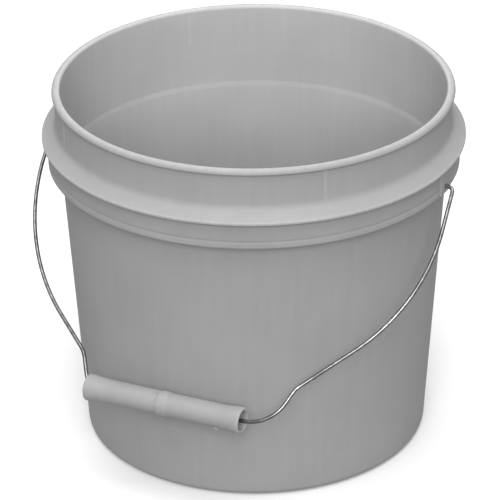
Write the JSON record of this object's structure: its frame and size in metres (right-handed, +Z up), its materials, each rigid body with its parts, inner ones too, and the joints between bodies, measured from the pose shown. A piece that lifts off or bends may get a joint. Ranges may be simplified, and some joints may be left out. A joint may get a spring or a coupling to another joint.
{
  "type": "plastic bucket",
  "caption": "Tapered plastic fermenting bucket with a flanged neck, a rolled lip, and a wire bail that swings in two ears and carries a loose plastic hand grip.",
  "frame": {"origin": "on the bucket's own axis, in the plane that its foot ring stands on", "axes": "+Z up along the bucket's axis; X along the bail's pivot axis, from ear to ear; the bail rests against the wall on the -Y side"},
  "size_m": [0.2584, 0.2476, 0.2183],
  "materials": {
    "bucket_plastic": "injection-moulded polyethylene, pale neutral grey, soft satin skin",
    "galvanised_wire": "drawn galvanised steel wire with fine lengthwise drawing marks",
    "grip_plastic": "injection-moulded plastic, a little paler and smoother than the bucket"
  },
  "bodies": {
    "bucket": {"bucket": "bucket_plastic"},
    "bail": {"bail_wire": "galvanised_wire"},
    "grip": {"grip": "grip_plastic"}
  },
  "joints": [
    {"name": "bail_swing", "type": "hinge", "parent": "bucket", "child": "bail", "pos_m": [0, 0, 0.1756], "axis": [-1, 0, 0], "range_deg": [-1.39, 269.54]},
    {"name": "grip_spin", "type": "hinge", "parent": "bail", "child": "grip", "pos_m": [-0.004, -0.11581, 0.06347], "axis": [1, 0, 0], "continuous": true}
  ]
}
